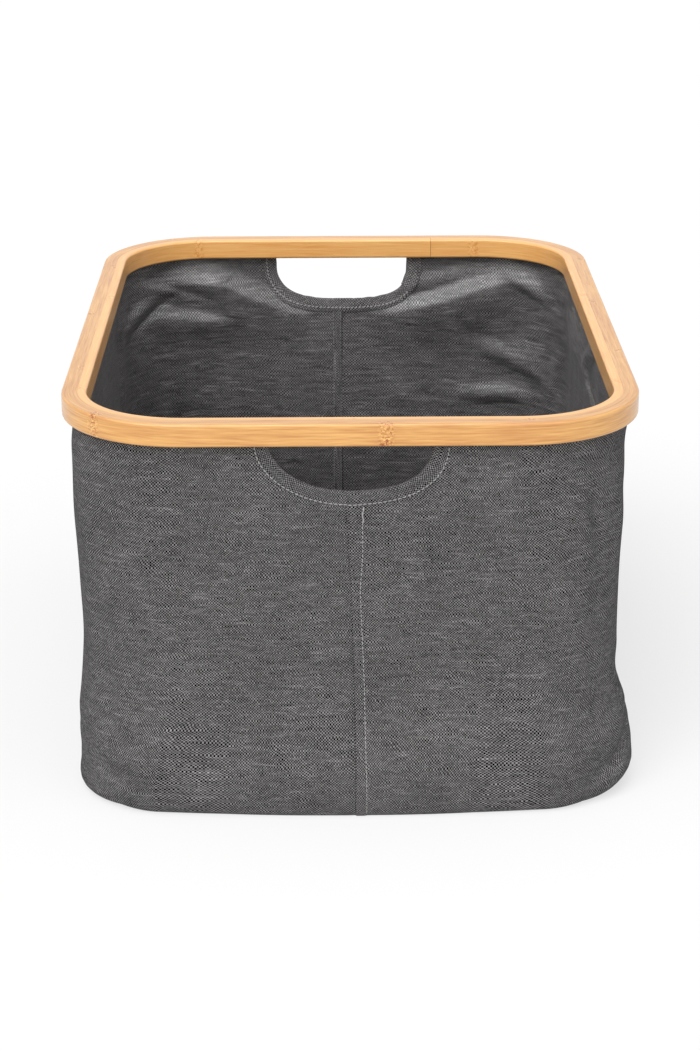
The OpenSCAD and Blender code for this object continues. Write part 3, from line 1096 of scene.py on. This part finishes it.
def along_rim(point):
    """Distance of a point round the rim's outer line, from the front's middle towards the right."""
    across, back = abs(point.x), abs(point.y)
    half_w, half_d = STRAIGHT_W / 2, STRAIGHT_D / 2
    if across <= half_w:
        run = across
    elif back <= half_d:
        run = half_w + RIM_R * math.pi / 2 + half_d - back
    else:
        run = half_w + math.atan2(across - half_w, back - half_d) * RIM_R
    if point.y > 0:
        run = RIM_RUN / 2 - run
    return math.copysign(run, point.x)


def select_points(mesh, test):
    """Selects the mesh's points that pass a test, from object mode."""
    for edge in mesh.edges:
        edge.select = False
    for face in mesh.polygons:
        face.select = False
    for point in mesh.vertices:
        point.select = test(point.co)


def rim_ply(name, inset, thickness, low, round_sides, butt, material):
    """One bent strip of the rim. Its section is drawn at its butt joint and carried all the way round."""
    butt_side, butt_at = butt
    travel, outward = RIM_SIDES[butt_side]
    at = butt_at + BUTT_GAP / 2
    start = outward * (rim_reach(butt_side) - inset - thickness / 2) + travel * at
    start.z = (low + RIM_TOP) / 2
    deselect()
    turned = (math.pi / 2, 0, butt_side * math.pi / 2)
    bpy.ops.mesh.primitive_plane_add(size=1, location=start, rotation=turned)
    piece = bpy.context.object
    piece.name = name
    bpy.ops.object.mode_set(mode="EDIT")
    high = RIM_TOP - low
    bpy.ops.transform.resize(value=(thickness, 1, high) if butt_side % 2 == 0 else (1, thickness, high))
    bpy.ops.object.mode_set(mode="OBJECT")
    activate(piece)
    bpy.ops.object.transform_apply(location=True, rotation=True, scale=True)
    middle = start.dot(outward)
    for radius, segments, wanted in ((EDGE_R, 6, round_sides), (JOINT_R, 2, -round_sides)):
        select_points(piece.data, lambda co: wanted * (co.dot(outward) - middle) > thickness * 0.49)
        bpy.ops.object.mode_set(mode="EDIT")
        bpy.ops.mesh.select_mode(type="VERT")
        bpy.ops.mesh.bevel(offset=radius, segments=segments, affect="VERTICES")
        bpy.ops.object.mode_set(mode="OBJECT")
    bpy.ops.object.mode_set(mode="EDIT")
    bpy.ops.mesh.select_all(action="SELECT")
    for turn in range(5):
        side = (butt_side + turn) % 4
        along, out = RIM_SIDES[side]
        half = rim_straight(side) / 2
        end = half if turn < 4 else butt_at - BUTT_GAP / 2
        bpy.ops.mesh.extrude_region_move(TRANSFORM_OT_translate={"value": along * (end - at)})
        if turn < 4:
            centre = along * half + out * (rim_reach(side) - RIM_R)
            bpy.ops.mesh.spin(steps=16, angle=math.pi / 2, center=centre, axis=(0, 0, -1))
            at = -rim_straight((side + 1) % 4) / 2
    bpy.ops.object.mode_set(mode="OBJECT")
    point_outward(piece)
    from_front = butt_run(butt)
    values = []
    for point in piece.data.vertices:
        run = (along_rim(point.co) - from_front) % RIM_RUN
        values += [run, edge_distance(point.co), point.co.z]
    grain = piece.data.attributes.new("grain", "FLOAT_VECTOR", "POINT")
    grain.data.foreach_set("vector", values)
    piece.data.materials.append(material)
    smooth_by_angle(piece, 40)
    apply_modifier(piece, "WEIGHTED_NORMAL", keep_sharp=True)
    stand_in(piece, name, "rim")


def edge_distance(point):
    """How far a point lies inside the rim's outer line."""
    over_x = abs(point.x) - STRAIGHT_W / 2
    over_y = abs(point.y) - STRAIGHT_D / 2
    if over_x > 0 and over_y > 0:
        return RIM_R - math.hypot(over_x, over_y)
    return RIM_R - max(over_x, over_y)


def butt_run(butt):
    """Distance of a butt joint round the rim, by its side and how far along that side it lies."""
    side, at = butt
    return along_rim(RIM_SIDES[side][0] * at + RIM_SIDES[side][1] * rim_reach(side))


def knuckles_from(butt, places):
    """Distances of a ply's knuckles from its butt joint, from those round the rim's outer line."""
    return sorted((place - butt_run(butt)) % RIM_RUN for place in places)


# ---------------------------------------------------------------- base and insert
# Steps in each corner and on each straight side of the outline along which a tape is laid
TAPE_STEPS = (14, 12)


def round_outline(inset, radius, corner_steps=12, straight_steps=10, bowed=False):
    """Points and outward directions round a rounded rectangle, counter-clockwise from the right side."""
    reach = np.array([HALF_W - inset - radius, HALF_D - inset - radius])
    centres = [reach * quarter for quarter in ((1, 1), (-1, 1), (-1, -1), (1, -1))]
    points, directions = [], []
    for quarter, centre in enumerate(centres):
        for k in range(corner_steps + 1):
            angle = math.pi / 2 * (quarter + k / corner_steps)
            out = np.array([math.cos(angle), math.sin(angle)])
            points.append(centre + radius * out)
            directions.append(out)
        first = points[-1]
        last = centres[(quarter + 1) % 4] + radius * out
        for k in range(1, straight_steps):
            points.append(mix(first, last, k / straight_steps))
            directions.append(out)
    points = np.array(points)
    if bowed:
        points[:, 1] -= np.where(points[:, 1] < 0, front_bow(points[:, 0]), 0.0)
    return points, np.array(directions)


def flat_sheet(name, inset, radius, low, high, materials, bowed=False):
    """A flat cloth with a rounded outline, as rings that close in to its middle."""
    outline, _ = round_outline(inset, radius, bowed=bowed)
    shares = [1.0, 0.998, 0.985, 0.95, 0.88, 0.75, 0.6, 0.45, 0.3, 0.15]
    size = len(outline)
    top = np.concatenate([np.column_stack([outline * share, np.full(size, high)]) for share in shares])
    faces = grid_faces(len(shares), size, closed=True)
    centre = len(top)
    last = (len(shares) - 1) * size
    faces += [(last + k, last + (k + 1) % size, centre) for k in range(size)]
    points = np.vstack([top, [[0, 0, high]]])
    below = points.copy()
    below[:, 2] -= high - low
    offset = len(points)
    bottom = [tuple(offset + k for k in reversed(face)) for face in faces]
    sides = [(k, offset + k, offset + (k + 1) % size, (k + 1) % size) for k in range(size)]
    piece = new_piece(name, np.vstack([points, below]), faces + bottom + sides, materials)
    point_outward(piece)
    smooth_by_angle(piece, 50)
    return piece


def tape_round(name, inset, radius, section, material, bowed=False):
    """A tape carried round a rounded rectangle. The section is (distance inward, height)."""
    outline, directions = round_outline(inset, radius, *TAPE_STEPS, bowed)
    outline = np.vstack([outline, outline[:1]])
    directions = np.vstack([directions, directions[:1]])
    section = np.array(section)
    rings = []
    for point, out in zip(outline, directions):
        flat = point[None, :] - out[None, :] * section[:, :1]
        rings.append(np.column_stack([flat, section[:, 1]]))
    count, size = len(rings), len(section)
    points = np.array(rings).reshape(-1, 3)
    piece = new_piece(name, points, grid_faces(count, size, closed=True), [material])
    lay_map(piece, np.stack([np.repeat(distances(outline), size), np.tile(distances(section), count)], -1))
    point_outward(piece)
    smooth_by_angle(piece, 50)
    return piece


def base_radius(inset):
    """Corner radius of an outline that lies inside the wall's floor seam."""
    return BASE_R - ROLL_W - (inset - SEAM_INSET)


def make_base(base_cloth, tape):
    """The fabric bottom, and the tape over its seam."""
    inset = HALF_W - base_high.x
    low, high = base_low.z, base_high.z
    base = flat_sheet("base_panel", inset, base_radius(inset), low, high, [base_cloth], bowed=True)
    stand_in(base, "base_panel", "basket")
    inset = HALF_W - binding_high.x
    low, high = binding_low.z, binding_high.z
    section = [
        (0.0, low), (BINDING_W, low), (BINDING_W + 0.0004, (low + high) / 2),
        (BINDING_W, high), (0.0, high),
    ]
    binding = tape_round("base_seam_binding", inset, base_radius(inset), section, tape, bowed=True)
    stand_in(binding, "base_seam_binding", "basket")
    return base, binding


def make_insert(cover_cloth, tape, thread):
    """Top and bottom covers over the board, and the tape sewn round their edge."""
    covers = []
    for name in ("insert_top_cover", "insert_bottom_cover"):
        low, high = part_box(name)
        cover = flat_sheet(name, HALF_W - cover_high.x, COVER_R, low.z, high.z, [cover_cloth])
        stand_in(cover, name, "insert")
        covers.append(cover)
    low, high = edging_low.z, edging_high.z
    under, over = low + EDGING_T - 0.00005, high - EDGING_T + 0.00005
    section = [
        (EDGING_W, under), (EDGING_W + 0.0002, low + EDGING_T / 2), (EDGING_W - 0.0004, low),
        (0.0014, low), (0.0004, low + 0.0009), (0.0, low + 0.0024),
        (0.0, high - 0.0024), (0.0004, high - 0.0009), (0.0014, high),
        (EDGING_W - 0.0004, high), (EDGING_W + 0.0002, high - EDGING_T / 2), (EDGING_W, over),
        (EDGING_T, over), (EDGING_T, under),
    ]
    inset = HALF_W - edging_high.x
    edging = tape_round("insert_edging", inset, EDGING_R, section, tape)
    stand_in(edging, "insert_edging", "insert")
    outline, directions = round_outline(inset, EDGING_R, *TAPE_STEPS)
    flat = outline - directions * (EDGING_W - 0.0015)
    line = np.column_stack([flat, np.full(len(flat), high + 0.00005)])
    line = np.vstack([line, line[:1]])
    stitches = stitch_row("insert_edging_stitches", line, np.tile([0, 0, 1.0], (len(line), 1)), thread)
    rigid(stitches, "insert")
    return covers


# ---------------------------------------------------------------- the whole basket
def paint_node(name, material):
    """Gives a piece that is used as the frame has it its material."""
    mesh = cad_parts[name].data
    mesh.materials.clear()
    mesh.materials.append(material)


make_camera()
make_lights()
make_floor()

WARP = (0.003, 0.003, 0.003, 1)
WEFT = (0.182, 0.176, 0.179, 1)
INSIDE_WEFT = (0.188, 0.180, 0.184, 1)
# Along the pinched fold's line each cloth is darkened with painted shade, the inside cloth much more than
# the others.
outer_cloth = cloth("wall_cloth", WARP, WEFT, thread=0.0010, streak=0.40, slub=0.35, speck=0.5)
inner_cloth = cloth("wall_cloth_inside", WARP, INSIDE_WEFT, thread=0.0012, streak=1.0, slub=0.5, speck=0.45,
                    shine=0.58, roughness=0.38, sheen=0.04, crease_shade=0.12)
facing_cloth = cloth("facing_cloth", WARP, WEFT,
                     thread=0.0009, crossing=0.9, streak=0.3, slub=0.2, speck=0.5)
facing_inside = cloth("facing_cloth_inside", (0.020, 0.019, 0.019, 1), (0.250, 0.240, 0.245, 1),
                      thread=0.0011, crossing=0.8, streak=0.3, slub=0.2, speck=0.5)
flat_cloth = cloth("base_cloth", WARP, WEFT, flat=True)
cover_cloth = cloth("insert_cover_cloth", WARP, WEFT, crossing=0.7, streak=0.7, flat=True)
tape = cloth("binding_tape", (0.02, 0.02, 0.021, 1), (0.075, 0.074, 0.076, 1),
             thread=0.0007, crossing=0.6, slub=0.0)
pale_thread = sewing_thread("pale_thread", (0.32, 0.32, 0.315, 1))
grey_thread = sewing_thread("grey_thread", (0.22, 0.22, 0.22, 1))
dark_thread = sewing_thread("dark_thread", (0.12, 0.12, 0.12, 1))

PALE_BAMBOO = (0.690, 0.385, 0.116, 1)
DARK_BAMBOO = (0.400, 0.152, 0.031, 1)
# The inner ply's colours are lighter than the outer ply's: painted light, making up for the dimmer light on
# the rim's inner faces.
INNER_PALE_WITH_PAINTED_LIGHT = (0.810, 0.450, 0.158, 1)
INNER_DARK_WITH_PAINTED_LIGHT = (0.660, 0.295, 0.072, 1)
# Butt joint of each ply: number of the rim's side, and distance along it from its middle
OUTER_BUTT = (0, 0.096)
INNER_BUTT = (1, -0.074)
CORE_BUTT = (2, -0.060)
OUTER_KNUCKLES = knuckles_from(OUTER_BUTT, (-0.180, 0.023, 0.34, 0.62, -0.45, -0.72))
CORE_KNUCKLES = knuckles_from(CORE_BUTT, (-0.30, 0.12, 0.48, -0.60))
INNER_KNUCKLES = knuckles_from(INNER_BUTT, (0.0, 0.26, 0.5, -0.25, -0.5, -0.743, 0.760))
outer_bamboo = bamboo("bamboo_outer_ply", PALE_BAMBOO, DARK_BAMBOO, OUTER_KNUCKLES, 0.0)
core_bamboo = bamboo("bamboo_core_ply", (0.68, 0.375, 0.120, 1), DARK_BAMBOO, CORE_KNUCKLES, 0.37)
inner_bamboo = bamboo("bamboo_inner_ply", INNER_PALE_WITH_PAINTED_LIGHT, INNER_DARK_WITH_PAINTED_LIGHT, INNER_KNUCKLES, 0.71)

# Of each ply the inset, thickness, lower edge and the side with rounded edges: 1 outward, -1 inward
inner_inset = OUTER_PLY + CORE_PLY
rim_ply("rim_outer_ply", 0.0, OUTER_PLY, RIM_Z, 1, OUTER_BUTT, outer_bamboo)
rim_ply("rim_core_ply", OUTER_PLY, CORE_PLY, core_low.z, 0, CORE_BUTT, core_bamboo)
rim_ply("rim_inner_ply", inner_inset, INNER_PLY, RIM_Z, -1, INNER_BUTT, inner_bamboo)

paint_node("hem_strip", speckled("hem_strip_plastic", (0.07, 0.07, 0.072, 1), 0.08, 300.0, 0.45, 0.00003))
paint_node("insert_board", speckled("grey_board", (0.34, 0.25, 0.16, 1), 0.2, 700.0, 0.8, 0.00005))

left_panel = wall_panel("left_wall_panel", LEFT, outer_cloth, inner_cloth)
right_panel = wall_panel("right_wall_panel", RIGHT, outer_cloth, inner_cloth)
seam_stitches = front_seam_stitches(pale_thread)
front_fell, front_rows = seam_fell(
    "front_seam_fell", "front", 0.0, FRONT_FELL_W, inner_cloth, pale_thread)
back_fell, back_rows = seam_fell(
    "back_seam_fell", "back", -BACK_FELL_W, BACK_FELL_W, inner_cloth, grey_thread)
back_outside = back_seam_outside(pale_thread)
facings = [hole_facing(end, facing_cloth, facing_inside, pale_thread) for end in ENDS]
base, binding = make_base(flat_cloth, tape)
covers = make_insert(cover_cloth, tape, dark_thread)

for panel, sewn_on in (
    (left_panel, [back_fell, *back_rows, *back_outside]),
    (right_panel, [front_fell, *front_rows, *seam_stitches]),
):
    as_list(sewn_on)
for end, piece in zip(ENDS, facings):
    round_hole = float(hole_path(end)[2][-1])
